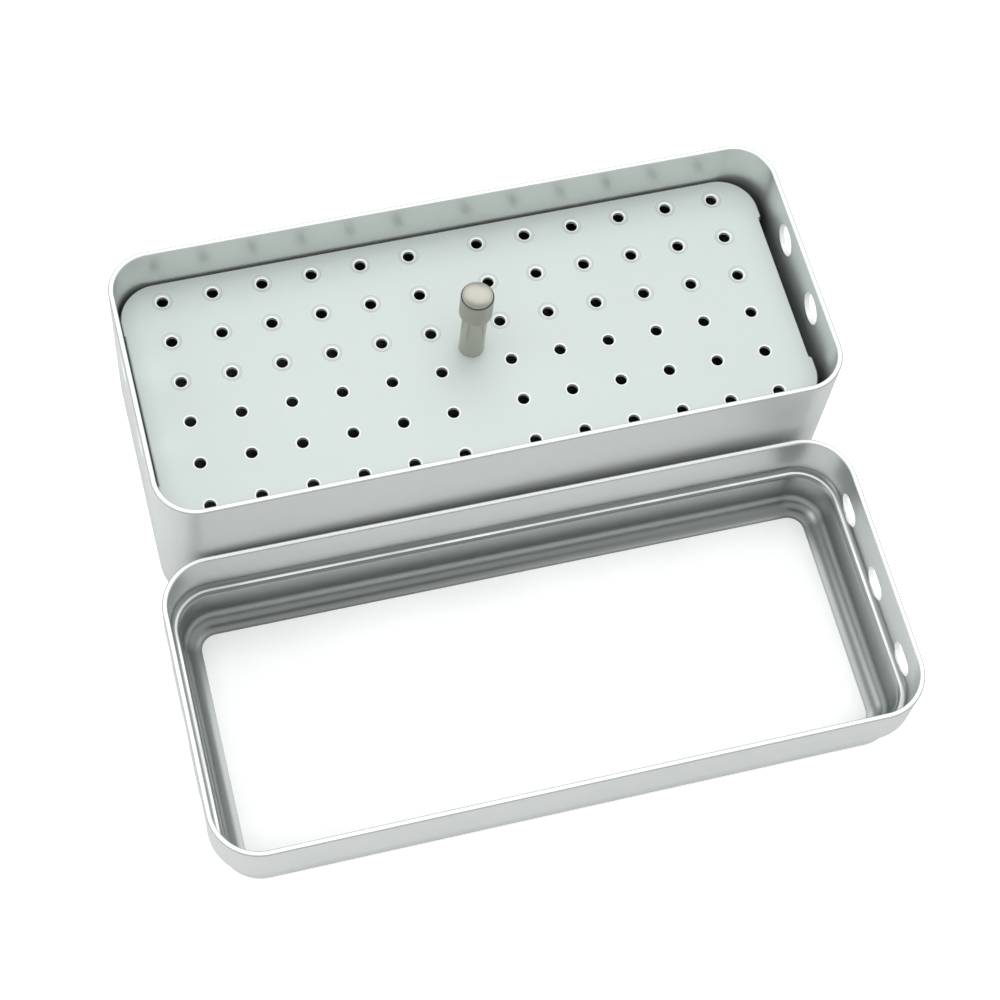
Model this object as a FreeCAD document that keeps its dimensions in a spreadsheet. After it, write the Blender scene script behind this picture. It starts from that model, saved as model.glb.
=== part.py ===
import FreeCAD, Part

import math
import os

import Sketcher

Vector = FreeCAD.Vector
QUARTER_TURN = math.pi / 2

# Dental bur sterilization box: a deep drawn base pan, a lifting rack for 72 burs, and a
# shallow lid that lies open side up in front of the base.
# The origin is the centre of the base's underside, X runs along the box and Z is up.

document = FreeCAD.newDocument("sterilization_container")

# Driving dimensions, in millimetres unless the name says otherwise
DIMENSIONS = [
    # drawn pans
    ("pan_sheet", 1.3),
    ("rim_chamfer", 0.35),
    ("base_length", 163.4),
    ("base_width", 69.6),
    ("base_height", 48.6),
    ("base_corner", 10.4),
    ("base_floor_radius", 4.0),
    ("base_vent_diameter", 7.8),
    ("base_vent_spacing", 19.7),
    ("base_vent_drop", 7.3),
    # lid, which slips over the base with lid_clearance on every side
    ("lid_clearance", 0.25),
    ("lid_height", 28.0),
    ("lid_floor_radius", 5.8),
    ("ledge_depth", 13.0),
    ("ledge_inset", 2.25),
    ("ledge_edge_chamfer", 0.6),
    ("step_edge_chamfer", 1.0),
    ("lid_vent_length", 8.4),
    ("lid_vent_height", 5.6),
    ("lid_vent_spacing", 19.75),
    ("lid_vent_drop", 9.9),
    ("lid_place_x", -1.5),
    ("lid_place_y", -72.5),
    ("lid_turn_degrees", 0.435),
    # rack: top plate with folded legs
    ("rack_place_x", -0.6),
    ("rack_place_y", 0.4),
    ("rack_sheet", 1.2),
    ("rack_top", 36.0),
    ("rack_length", 158.5),
    ("rack_width", 65.7),
    ("rack_corner", 9.5),
    ("leg_face", 78.3),
    ("leg_width", 40.0),
    ("leg_bend_radius", 1.3),
    ("foot_bend_radius", 2.4),
    ("foot_reach", 8.0),
    ("lobe_edge_radius", 0.7),
    # bur holes
    ("columns_per_side", 6),
    ("rows_per_side", 3),
    ("column_pitch", 12.0),
    ("centre_gap", 17.0),
    ("row_pitch", 11.05),
    ("first_back_row", 5.53),
    ("first_front_row", -5.22),
    ("hole_diameter", 2.8),
    ("hole_sides", 12),
    ("countersink_diameter", 4.8),
    ("countersink_depth", 0.15),
    # plates inside the rack
    ("inner_sheet", 1.0),
    ("inner_plate_gap", 0.1),
    ("guide_drop", 9.0),
    ("rest_drop", 15.5),
    ("plate_tab_width", 12.0),
    ("plate_tab_clearance", 0.1),
    ("guide_back_diameter", 2.5),
    ("guide_front_diameter", 1.8),
    ("guide_hole_sides", 6),
    # lifting post and what holds it
    ("head_diameter", 7.8),
    ("head_length", 8.1),
    ("head_chamfer", 0.7),
    ("head_dish_diameter", 6.0),
    ("head_dish_depth", 0.35),
    ("knurl_count", 24),
    ("knurl_depth", 0.25),
    ("shank_diameter", 6.0),
    ("post_rise", 23.4),
    ("stud_diameter", 4.0),
    ("stud_clearance", 0.05),
    ("stud_tip_beyond_nut", 0.6),
    ("stud_tip_chamfer", 0.4),
    ("spacer_diameter", 7.0),
    ("washer_diameter", 9.0),
    ("washer_thickness", 0.8),
    ("nut_across_flats", 7.0),
    ("nut_height", 5.0),
]

sizes = document.addObject("Spreadsheet::Sheet", "sizes")
for line, (name, value) in enumerate(DIMENSIONS, start=1):
    sizes.set(f"A{line}", name)
    sizes.set(f"B{line}", str(value))
    sizes.setAlias(f"B{line}", name)
document.recompute()


def bind(item, binding):
    """Binds properties of an object to expressions of the sheet."""
    for name, expression in binding.items():
        item.setExpression(name, expression)


def origin_feature(body, role):
    return next(feature for feature in body.Origin.OriginFeatures if feature.Role == role)


def new_body(label, x="0 mm", y="0 mm", z="0 mm"):
    body = document.addObject("PartDesign::Body", label)
    body.Label = label
    bind(body, {"Placement.Base.x": x, "Placement.Base.y": y, "Placement.Base.z": z})
    return body


def new_sketch(body, name, role="XY_Plane", offset="0 mm"):
    sketch = body.newObject("Sketcher::SketchObject", name)
    sketch.AttachmentSupport = (origin_feature(body, role), [""])
    sketch.MapMode = "FlatFace"
    sketch.setExpression("AttachmentOffset.Base.z", offset)
    return sketch


def dimension(sketch, name, constraint, expression):
    """Adds a driving constraint that reads its value from the sheet."""
    index = sketch.addConstraint(constraint)
    sketch.renameConstraint(index, name)
    sketch.setExpression(f"Constraints.{name}", expression)


def draw_circle(sketch, name, diameter, x=None, y=None):
    """Circle centred on the sketch's origin, or placed by the expressions x and y."""
    across = float(sizes.evalExpression(diameter))
    place_x = float(sizes.evalExpression(x)) if x else 0.0
    place_y = float(sizes.evalExpression(y)) if y else 0.0
    circle = Part.Circle(Vector(place_x, place_y, 0), Vector(0, 0, 1), across / 2)
    index = sketch.addGeometry(circle, False)
    dimension(sketch, f"{name}_diameter", Sketcher.Constraint("Diameter", index, across), diameter)
    place_point(sketch, name, index, 3, x, y)


def place_point(sketch, name, index, vertex, x=None, y=None):
    """Fixes a point at expressions x and y, measured from the sketch's origin."""
    if x is None:
        sketch.addConstraint(Sketcher.Constraint("PointOnObject", index, vertex, -2))
    else:
        start = float(sizes.evalExpression(x))
        constraint = Sketcher.Constraint("DistanceX", -1, 1, index, vertex, start)
        dimension(sketch, f"{name}_x", constraint, x)
    if y is None:
        sketch.addConstraint(Sketcher.Constraint("PointOnObject", index, vertex, -1))
    else:
        start = float(sizes.evalExpression(y))
        constraint = Sketcher.Constraint("DistanceY", -1, 1, index, vertex, start)
        dimension(sketch, f"{name}_y", constraint, y)


def draw_rounded_rectangle(sketch, name, length, width, corner):
    """Rectangle with round corners, centred on the sketch's origin."""
    radius = float(sizes.evalExpression(corner))
    across = float(sizes.evalExpression(length)) / 2 - radius
    up = float(sizes.evalExpression(width)) / 2 - radius
    centres = [(across, -up), (across, up), (-across, up), (-across, -up)]
    geometry = []
    for turn, (x, y) in enumerate(centres):
        circle = Part.Circle(Vector(x, y, 0), Vector(0, 0, 1), radius)
        arc = Part.ArcOfCircle(circle, (turn - 1) * QUARTER_TURN, turn * QUARTER_TURN)
        geometry.append(arc)
    for turn in range(4):
        end = geometry[turn].EndPoint
        start = geometry[(turn + 1) % 4].StartPoint
        geometry.append(Part.LineSegment(end, start))
    arcs = sketch.addGeometry(geometry, False)
    corners, sides = arcs[:4], arcs[4:]
    constraints = []
    for turn in range(4):
        following = corners[(turn + 1) % 4]
        constraints.append(Sketcher.Constraint("Tangent", corners[turn], 2, sides[turn], 1))
        constraints.append(Sketcher.Constraint("Tangent", sides[turn], 2, following, 1))
    for turn in range(1, 4):
        constraints.append(Sketcher.Constraint("Equal", corners[0], corners[turn]))
    constraints.append(Sketcher.Constraint("Vertical", sides[0]))
    constraints.append(Sketcher.Constraint("Horizontal", sides[1]))
    constraints.append(Sketcher.Constraint("Vertical", sides[2]))
    constraints.append(Sketcher.Constraint("Horizontal", sides[3]))
    constraints.append(Sketcher.Constraint("Symmetric", corners[0], 3, corners[2], 3, -1, 1))
    sketch.addConstraint(constraints)
    radius_constraint = Sketcher.Constraint("Radius", corners[0], radius)
    dimension(sketch, f"{name}_corner", radius_constraint, corner)
    reach = Sketcher.Constraint("DistanceX", corners[3], 3, corners[0], 3, 2 * across)
    dimension(sketch, f"{name}_length", reach, f"{length} - 2 * ({corner})")
    rise = Sketcher.Constraint("DistanceY", corners[0], 3, corners[1], 3, 2 * up)
    dimension(sketch, f"{name}_width", rise, f"{width} - 2 * ({corner})")


def draw_polygon(sketch, name, points):
    """Closed outline of straight lines through points given as pairs of expressions."""
    places = []
    for x, y in points:
        places.append(Vector(float(sizes.evalExpression(x)), float(sizes.evalExpression(y)), 0))
    count = len(places)
    segments = [Part.LineSegment(places[n], places[(n + 1) % count]) for n in range(count)]
    lines = sketch.addGeometry(segments, False)
    for number in range(count):
        following = lines[(number + 1) % count]
        sketch.addConstraint(Sketcher.Constraint("Coincident", lines[number], 2, following, 1))
    for number, (x, y) in enumerate(points):
        place_point(sketch, f"{name}_{number}", lines[number], 1, x, y)


def draw_slot(sketch, name, length, height, x, y):
    """Oblong opening with half-round ends, its long side along the sketch's first axis."""
    radius = float(sizes.evalExpression(height)) / 2
    reach = float(sizes.evalExpression(length)) / 2 - radius
    centre = Vector(float(sizes.evalExpression(x)), float(sizes.evalExpression(y)), 0)
    right = Part.Circle(centre + Vector(reach, 0, 0), Vector(0, 0, 1), radius)
    left = Part.Circle(centre - Vector(reach, 0, 0), Vector(0, 0, 1), radius)
    right_arc = Part.ArcOfCircle(right, -QUARTER_TURN, QUARTER_TURN)
    left_arc = Part.ArcOfCircle(left, QUARTER_TURN, 3 * QUARTER_TURN)
    top = Part.LineSegment(right_arc.EndPoint, left_arc.StartPoint)
    bottom = Part.LineSegment(left_arc.EndPoint, right_arc.StartPoint)
    right_end, top_side, left_end, bottom_side = sketch.addGeometry(
        [right_arc, top, left_arc, bottom], False
    )
    sketch.addConstraint(
        [
            Sketcher.Constraint("Tangent", right_end, 2, top_side, 1),
            Sketcher.Constraint("Tangent", top_side, 2, left_end, 1),
            Sketcher.Constraint("Tangent", left_end, 2, bottom_side, 1),
            Sketcher.Constraint("Tangent", bottom_side, 2, right_end, 1),
            Sketcher.Constraint("Horizontal", top_side),
        ]
    )
    radius_constraint = Sketcher.Constraint("Radius", right_end, radius)
    dimension(sketch, f"{name}_end_radius", radius_constraint, f"{height} / 2")
    place_point(sketch, f"{name}_right", right_end, 3, f"{x} + ({length} - {height}) / 2", y)
    span = Sketcher.Constraint("DistanceX", left_end, 3, right_end, 3, 2 * reach)
    dimension(sketch, f"{name}_reach", span, f"{length} - {height}")


def pad(body, sketch, name, length):
    feature = body.newObject("PartDesign::Pad", name)
    feature.Profile = sketch
    feature.setExpression("Length", length)
    document.recompute()
    return feature


def pocket_up(body, sketch, name):
    """Cuts from the sketch upwards through everything above it."""
    return pocket(body, sketch, name, upwards=True)


def pocket(body, sketch, name, upwards=False, both_ways=False):
    before = body.Shape.Volume
    feature = body.newObject("PartDesign::Pocket", name)
    feature.Profile = sketch
    feature.Type = "ThroughAll"
    feature.Reversed = upwards
    feature.Midplane = both_ways
    document.recompute()
    if body.Shape.Volume > before - 1e-6:
        raise RuntimeError(f"{name} removes nothing from {body.Label}")
    return feature


def dress_edges(body, kind, name, edges, measure, value):
    """Adds a fillet or a chamfer on the named edges of the body's last feature."""
    if not edges:
        raise RuntimeError(f"{name} finds no edges on {body.Label}")
    dressed = body.Tip
    feature = body.newObject(kind, name)
    feature.Base = (dressed, edges)
    feature.setExpression(measure, value)
    document.recompute()
    return feature


def round_edges(body, name, edges, radius):
    return dress_edges(body, "PartDesign::Fillet", name, edges, "Radius", radius)


def chamfer_edges(body, name, edges, setback):
    return dress_edges(body, "PartDesign::Chamfer", name, edges, "Size", setback)


def edges_at_height(body, height, outside=None, inside=None):
    """Names of the level edges at a height, outside or inside a rounded rectangle if one is given."""
    level = float(sizes.evalExpression(height))
    found = []
    for number, edge in enumerate(body.Tip.Shape.Edges, start=1):
        box = edge.BoundBox
        if abs(box.ZMin - level) > 1e-4 or abs(box.ZMax - level) > 1e-4:
            continue
        if outside is not None and not lies_outside(edge, outside):
            continue
        if inside is not None and lies_outside(edge, inside):
            continue
        found.append(f"Edge{number}")
    return found


def lies_outside(edge, loop):
    """True when the edge lies outside a rounded rectangle (half length, half width, corner)."""
    half_length, half_width, corner = [float(sizes.evalExpression(item)) for item in loop]
    middle = edge.valueAt((edge.FirstParameter + edge.LastParameter) / 2)
    over_x = max(abs(middle.x) - (half_length - corner), 0)
    over_y = max(abs(middle.y) - (half_width - corner), 0)
    return (over_x**2 + over_y**2) ** 0.5 > corner


def mirror_about_middle(body, name, originals):
    """Repeats features on the other end of the box."""
    feature = body.newObject("PartDesign::Mirrored", name)
    feature.Originals = originals
    feature.MirrorPlane = (origin_feature(body, "YZ_Plane"), [""])
    body.Tip = feature
    document.recompute()
    return feature


def repeat_holes(body, name, originals):
    """Repeats holes over three rows and six columns, and mirrors them to the other half."""
    grid = body.newObject("PartDesign::MultiTransform", name)
    grid.Originals = originals
    columns = document.addObject("PartDesign::LinearPattern", f"{name}_columns")
    columns.Direction = (origin_feature(body, "X_Axis"), [""])
    bind(
        columns,
        {
            "Length": "(sizes.columns_per_side - 1) * sizes.column_pitch",
            "Occurrences": "sizes.columns_per_side",
        },
    )
    rows = document.addObject("PartDesign::LinearPattern", f"{name}_rows")
    rows.Direction = (origin_feature(body, "Y_Axis"), [""])
    bind(
        rows,
        {
            "Length": "(sizes.rows_per_side - 1) * sizes.row_pitch",
            "Occurrences": "sizes.rows_per_side",
        },
    )
    halves = document.addObject("PartDesign::Mirrored", f"{name}_halves")
    halves.MirrorPlane = (origin_feature(body, "YZ_Plane"), [""])
    steps = [columns, rows, halves]
    for step in steps:
        body.addObject(step)
    grid.Transformations = steps
    body.Tip = grid
    document.recompute()
    return grid


def many_sided(diameter, sides, x, y):
    """Corners of a regular outline of many sides, whose area is that of the round hole."""
    count = int(sizes.evalExpression(sides))
    step = f"360 deg / {sides}"
    reach = f"{diameter} / 2 / sqrt(sin({step}) / ({step}) * 180 deg / pi)"
    corners = []
    for turn in range(count):
        corners.append(
            (f"{x} + {reach} * cos({turn} * {step})", f"{y} + {reach} * sin({turn} * {step})")
        )
    return corners


def drill_plate(body, surface, sides, back_diameter, front_diameter, countersunk=False):
    """Cuts a plate's 72 holes as many-sided openings: three back rows and three front rows."""
    column = "sizes.centre_gap / 2"
    front_row = "sizes.first_front_row - (sizes.rows_per_side - 1) * sizes.row_pitch"
    features = []
    for half, diameter, row in (
        ("back", back_diameter, "sizes.first_back_row"),
        ("front", front_diameter, front_row),
    ):
        sketch = new_sketch(body, f"{body.Label}_{half}_hole_outline", offset=surface)
        draw_polygon(sketch, "hole", many_sided(diameter, sides, column, row))
        document.recompute()
        features.append(pocket(body, sketch, f"{body.Label}_{half}_hole"))
    if countersunk:
        cone = new_sketch(body, f"{body.Label}_countersink_outline", offset=surface)
        mouth = many_sided("sizes.countersink_diameter", sides, column, "sizes.first_back_row")
        draw_polygon(cone, "cone", mouth)
        document.recompute()
        features.append(tapered_pocket(body, cone, f"{body.Label}_countersink"))
    repeat_holes(body, f"{body.Label}_hole_grid", features)


def tapered_pocket(body, sketch, name):
    """Countersink that narrows from its mouth to the hole's own size."""
    before = body.Shape.Volume
    feature = body.newObject("PartDesign::Pocket", name)
    feature.Profile = sketch
    narrowing = "(sizes.countersink_diameter - sizes.hole_diameter) / 2"
    bind(
        feature,
        {
            "Length": "sizes.countersink_depth",
            "TaperAngle": f"-atan({narrowing} / sizes.countersink_depth)",
        },
    )
    document.recompute()
    if body.Shape.Volume > before - 1e-6:
        raise RuntimeError(f"{name} removes nothing from {body.Label}")
    return feature


# Base pan
base = new_body("base_shell")
outline = new_sketch(base, "base_outline")
draw_rounded_rectangle(
    outline, "outside", "sizes.base_length", "sizes.base_width", "sizes.base_corner"
)
pad(base, outline, "base_block", "sizes.base_height")
cavity = new_sketch(base, "base_cavity_outline", offset="sizes.pan_sheet")
draw_rounded_rectangle(
    cavity,
    "inside",
    "sizes.base_length - 2 * sizes.pan_sheet",
    "sizes.base_width - 2 * sizes.pan_sheet",
    "sizes.base_corner - sizes.pan_sheet",
)
pocket_up(base, cavity, "base_cavity")
round_edges(
    base,
    "base_floor_corner",
    edges_at_height(base, "sizes.pan_sheet"),
    "sizes.base_floor_radius - sizes.pan_sheet",
)
round_edges(base, "base_floor_edge", edges_at_height(base, "0"), "sizes.base_floor_radius")
base_vents = new_sketch(base, "base_vent_places", "YZ_Plane")
for vent, side in (("front_vent", "-"), ("back_vent", "")):
    draw_circle(
        base_vents,
        vent,
        "sizes.base_vent_diameter",
        f"{side}sizes.base_vent_spacing / 2",
        "sizes.base_height - sizes.base_vent_drop",
    )
pocket(base, base_vents, "base_vents", both_ways=True)
chamfer_edges(base, "base_rim", edges_at_height(base, "sizes.base_height"), "sizes.rim_chamfer")

# Lid, modelled open side up as it lies
lid = new_body("lid_shell", "sizes.lid_place_x", "sizes.lid_place_y")
lid.Placement = FreeCAD.Placement(
    Vector(0, 0, 0),
    FreeCAD.Rotation(Vector(0, 0, -1), float(sizes.evalExpression("sizes.lid_turn_degrees"))),
)
lid.setExpression("Placement.Rotation.Angle", "sizes.lid_turn_degrees")
LID_GROWTH = "2 * (sizes.lid_clearance + sizes.pan_sheet)"
LID_LENGTH = f"sizes.base_length + {LID_GROWTH}"
LID_WIDTH = f"sizes.base_width + {LID_GROWTH}"
LID_CORNER = "sizes.base_corner + sizes.lid_clearance + sizes.pan_sheet"
STEP_HEIGHT = "sizes.lid_height - sizes.ledge_depth - sizes.pan_sheet"
LEDGE_HEIGHT = "sizes.lid_height - sizes.ledge_depth"


def lid_outline(offset, inset):
    """Sketch of the lid's outside outline moved inwards, at a height."""
    name = f"lid_outline_{len(lid.Group)}"
    sketch = new_sketch(lid, name, offset=offset)
    draw_rounded_rectangle(
        sketch,
        "outline",
        f"{LID_LENGTH} - 2 * ({inset})",
        f"{LID_WIDTH} - 2 * ({inset})",
        f"{LID_CORNER} - ({inset})",
    )
    return sketch


def lid_loop(inset):
    """Half length, half width and corner of the lid's outline moved inwards."""
    return (
        f"({LID_LENGTH}) / 2 - ({inset})",
        f"({LID_WIDTH}) / 2 - ({inset})",
        f"{LID_CORNER} - ({inset})",
    )


pad(lid, lid_outline("0 mm", "sizes.ledge_inset"), "lid_block", "sizes.lid_height")
skirt = lid_outline(STEP_HEIGHT, "0")
pad(lid, skirt, "lid_skirt", "sizes.ledge_depth + sizes.pan_sheet")
MID_STEP = lid_loop("sizes.ledge_inset / 2")
MID_LEDGE = lid_loop("sizes.pan_sheet + sizes.ledge_inset / 2")
step_edges = edges_at_height(lid, STEP_HEIGHT, outside=MID_STEP)
chamfer_edges(lid, "lid_step_edge", step_edges, "sizes.step_edge_chamfer")
pocket_up(lid, lid_outline("sizes.pan_sheet", "sizes.pan_sheet + sizes.ledge_inset"), "lid_cavity")
round_edges(
    lid,
    "lid_floor_corner",
    edges_at_height(lid, "sizes.pan_sheet"),
    "sizes.lid_floor_radius - sizes.pan_sheet",
)
round_edges(lid, "lid_floor_edge", edges_at_height(lid, "0"), "sizes.lid_floor_radius")
pocket_up(lid, lid_outline(LEDGE_HEIGHT, "sizes.pan_sheet"), "lid_socket")
ledge_edges = edges_at_height(lid, LEDGE_HEIGHT, inside=MID_LEDGE)
chamfer_edges(lid, "lid_ledge_edge", ledge_edges, "sizes.ledge_edge_chamfer")
lid_vents = new_sketch(lid, "lid_vent_places", "YZ_Plane")
for vent, place in (("front_vent", "-1"), ("middle_vent", "0"), ("back_vent", "1")):
    draw_slot(
        lid_vents,
        vent,
        "sizes.lid_vent_length",
        "sizes.lid_vent_height",
        f"{place} * sizes.lid_vent_spacing",
        "sizes.lid_height - sizes.lid_vent_drop",
    )
pocket(lid, lid_vents, "lid_vents", both_ways=True)
chamfer_edges(lid, "lid_rim", edges_at_height(lid, "sizes.lid_height"), "sizes.rim_chamfer")

# Rack top plate: a perforated plate whose ends fold down into legs with feet turned in
STUD_BORE = "sizes.stud_diameter + 2 * sizes.stud_clearance"
LEG_BOTTOM = "sizes.pan_sheet"
GUIDE_TOP = "sizes.rack_top - sizes.guide_drop"
REST_TOP = "sizes.rack_top - sizes.rest_drop"
RACK_PLACE = ("sizes.rack_place_x", "sizes.rack_place_y")

plate = new_body("rack_top_plate", *RACK_PLACE)
plate_outline = new_sketch(plate, "plate_outline", offset="sizes.rack_top - sizes.rack_sheet")
draw_rounded_rectangle(
    plate_outline, "plate", "sizes.rack_length", "sizes.rack_width", "sizes.rack_corner"
)
pad(plate, plate_outline, "plate_sheet", "sizes.rack_sheet")
recess = new_sketch(plate, "end_recess_outline")
RECESS_INNER = "sizes.leg_face - sizes.leg_bend_radius"
RECESS_OUTER = "sizes.rack_length / 2 + sizes.rack_sheet"
for end, sign in (("right", ""), ("left", "-")):
    draw_polygon(
        recess,
        end,
        [
            (f"{sign}({RECESS_INNER})", "-sizes.leg_width / 2"),
            (f"{sign}({RECESS_OUTER})", "-sizes.leg_width / 2"),
            (f"{sign}({RECESS_OUTER})", "sizes.leg_width / 2"),
            (f"{sign}({RECESS_INNER})", "sizes.leg_width / 2"),
        ],
    )
pocket_up(plate, recess, "end_recess")
lobe_edges = []
lobe_tip = float(sizes.evalExpression("sizes.rack_length / 2"))
lobe_side = float(sizes.evalExpression("sizes.leg_width / 2"))
for number, edge in enumerate(plate.Tip.Shape.Edges, start=1):
    box = edge.BoundBox
    upright = box.XLength < 1e-4 and box.YLength < 1e-4
    if upright and abs(abs(box.XMin) - lobe_tip) < 1e-4 and abs(abs(box.YMin) - lobe_side) < 1e-4:
        lobe_edges.append(f"Edge{number}")
round_edges(plate, "lobe_edge", lobe_edges, "sizes.lobe_edge_radius")

# The fold is swept along the middle of the sheet: over the bend, down the leg, along the foot
fold_path = new_sketch(plate, "leg_path", "XZ_Plane")
HALF_SHEET = "sizes.rack_sheet / 2"
bend = float(sizes.evalExpression(f"sizes.leg_bend_radius - {HALF_SHEET}"))
toe = float(sizes.evalExpression(f"sizes.foot_bend_radius - {HALF_SHEET}"))
start_x = float(sizes.evalExpression(RECESS_INNER))
middle_x = float(sizes.evalExpression(f"sizes.leg_face - {HALF_SHEET}"))
top_z = float(sizes.evalExpression(f"sizes.rack_top - {HALF_SHEET}"))
foot_z = float(sizes.evalExpression(f"{LEG_BOTTOM} + {HALF_SHEET}"))
end_x = float(sizes.evalExpression("sizes.leg_face - sizes.foot_reach"))
bend_circle = Part.Circle(Vector(start_x, top_z - bend, 0), Vector(0, 0, 1), bend)
toe_circle = Part.Circle(Vector(middle_x - toe, foot_z + toe, 0), Vector(0, 0, 1), toe)
bend_arc = Part.ArcOfCircle(bend_circle, 0, QUARTER_TURN)
leg_line = Part.LineSegment(bend_arc.StartPoint, Vector(middle_x, foot_z + toe, 0))
toe_arc = Part.ArcOfCircle(toe_circle, -QUARTER_TURN, 0)
foot_line = Part.LineSegment(toe_arc.StartPoint, Vector(end_x, foot_z, 0))
over, down, under, along = fold_path.addGeometry(
    [bend_arc, leg_line, toe_arc, foot_line], False
)
fold_path.addConstraint(
    [
        Sketcher.Constraint("Tangent", over, 1, down, 1),
        Sketcher.Constraint("Tangent", down, 2, under, 2),
        Sketcher.Constraint("Tangent", under, 1, along, 1),
        Sketcher.Constraint("Vertical", down),
        Sketcher.Constraint("Horizontal", along),
    ]
)
place_point(fold_path, "fold_start", over, 2, RECESS_INNER, f"sizes.rack_top - {HALF_SHEET}")
bend_radius = Sketcher.Constraint("Radius", over, bend)
dimension(fold_path, "bend_radius", bend_radius, f"sizes.leg_bend_radius - {HALF_SHEET}")
toe_radius = Sketcher.Constraint("Radius", under, toe)
dimension(fold_path, "toe_radius", toe_radius, f"sizes.foot_bend_radius - {HALF_SHEET}")
place_point(
    fold_path, "foot_end", along, 2, "sizes.leg_face - sizes.foot_reach", f"{LEG_BOTTOM} + {HALF_SHEET}"
)
fold_path.addConstraint(Sketcher.Constraint("Vertical", over, 3, over, 2))
fold_section = new_sketch(plate, "leg_section", "YZ_Plane", RECESS_INNER)
SHEET_TOP, SHEET_BOTTOM = "sizes.rack_top", "sizes.rack_top - sizes.rack_sheet"
draw_polygon(
    fold_section,
    "section",
    [
        ("-sizes.leg_width / 2", SHEET_BOTTOM),
        ("sizes.leg_width / 2", SHEET_BOTTOM),
        ("sizes.leg_width / 2", SHEET_TOP),
        ("-sizes.leg_width / 2", SHEET_TOP),
    ],
)
document.recompute()
right_leg = plate.newObject("PartDesign::AdditivePipe", "right_leg")
right_leg.Profile = fold_section
right_leg.Spine = fold_path
right_leg.Transition = "Right corner"
document.recompute()
mirror_about_middle(plate, "left_leg", [right_leg])

# Slots in the legs take the tabs of the two inner plates
SLOT_WIDTH = "sizes.plate_tab_width / 2 + sizes.plate_tab_clearance"
slots = new_sketch(plate, "tab_slot_outline", "YZ_Plane")
for slot, top in (("guide", GUIDE_TOP), ("rest", REST_TOP)):
    draw_polygon(
        slots,
        slot,
        [
            (f"-({SLOT_WIDTH})", f"{top} - sizes.inner_sheet"),
            (SLOT_WIDTH, f"{top} - sizes.inner_sheet"),
            (SLOT_WIDTH, f"{top} + sizes.plate_tab_clearance"),
            (f"-({SLOT_WIDTH})", f"{top} + sizes.plate_tab_clearance"),
        ],
    )
pocket(plate, slots, "tab_slots", both_ways=True)
post_hole = new_sketch(plate, "post_hole_outline", offset="sizes.rack_top")
draw_circle(post_hole, "post_hole", STUD_BORE)
pocket(plate, post_hole, "post_hole")
drill_plate(
    plate,
    "sizes.rack_top",
    "sizes.hole_sides",
    "sizes.hole_diameter",
    "sizes.hole_diameter",
    countersunk=True,
)


def inner_plate(label, top):
    """Plate between the rack's legs, hung in their slots by a tab at each end."""
    body = new_body(label, *RACK_PLACE)
    bottom = f"{top} - sizes.inner_sheet"
    sheet = new_sketch(body, f"{label}_outline", offset=bottom)
    draw_rounded_rectangle(
        sheet,
        "plate",
        "2 * (sizes.leg_face - sizes.rack_sheet - sizes.inner_plate_gap)",
        "sizes.rack_width",
        "sizes.rack_corner",
    )
    pad(body, sheet, f"{label}_sheet", "sizes.inner_sheet")
    tabs = new_sketch(body, f"{label}_tab_outline", offset=bottom)
    draw_polygon(
        tabs,
        "tabs",
        [
            ("-sizes.leg_face", "-sizes.plate_tab_width / 2"),
            ("sizes.leg_face", "-sizes.plate_tab_width / 2"),
            ("sizes.leg_face", "sizes.plate_tab_width / 2"),
            ("-sizes.leg_face", "sizes.plate_tab_width / 2"),
        ],
    )
    pad(body, tabs, f"{label}_tabs", "sizes.inner_sheet")
    stud_hole = new_sketch(body, f"{label}_stud_hole_outline", offset=top)
    draw_circle(stud_hole, "stud_hole", STUD_BORE)
    pocket(body, stud_hole, f"{label}_stud_hole")
    return body


guide = inner_plate("guide_plate", GUIDE_TOP)
drill_plate(
    guide,
    GUIDE_TOP,
    "sizes.guide_hole_sides",
    "sizes.guide_back_diameter",
    "sizes.guide_front_diameter",
)
inner_plate("rest_plate", REST_TOP)


def ring(label, diameter, bottom, height):
    """Ring around the post's stud, such as a spacer tube or a washer."""
    body = new_body(label, *RACK_PLACE, bottom)
    sketch = new_sketch(body, f"{label}_outline")
    draw_circle(sketch, "outside", diameter)
    draw_circle(sketch, "inside", STUD_BORE)
    pad(body, sketch, f"{label}_length", height)
    return body


WASHER_BOTTOM = f"{REST_TOP} - sizes.inner_sheet - sizes.washer_thickness"
NUT_BOTTOM = f"{WASHER_BOTTOM} - sizes.nut_height"
ring(
    "upper_spacer",
    "sizes.spacer_diameter",
    GUIDE_TOP,
    "sizes.guide_drop - sizes.rack_sheet",
)
ring(
    "lower_spacer",
    "sizes.spacer_diameter",
    REST_TOP,
    "sizes.rest_drop - sizes.guide_drop - sizes.inner_sheet",
)
ring("nut_washer", "sizes.washer_diameter", WASHER_BOTTOM, "sizes.washer_thickness")

# Lock nut: a plain hexagon
nut = new_body("lock_nut", *RACK_PLACE, NUT_BOTTOM)
hexagon = new_sketch(nut, "nut_outline")
corner_circle = "sizes.nut_across_flats / 2 / cos(30 deg)"
hexagon_points = []
for degrees in range(0, 360, 60):
    across = f"{corner_circle} * cos({degrees} deg)"
    along = f"{corner_circle} * sin({degrees} deg)"
    hexagon_points.append((across, along))
draw_polygon(hexagon, "hexagon", hexagon_points)
pad(nut, hexagon, "nut_block", "sizes.nut_height")
nut_bore = new_sketch(nut, "nut_bore_outline", offset="sizes.nut_height")
draw_circle(nut_bore, "bore", STUD_BORE)
pocket(nut, nut_bore, "nut_bore")


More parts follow.
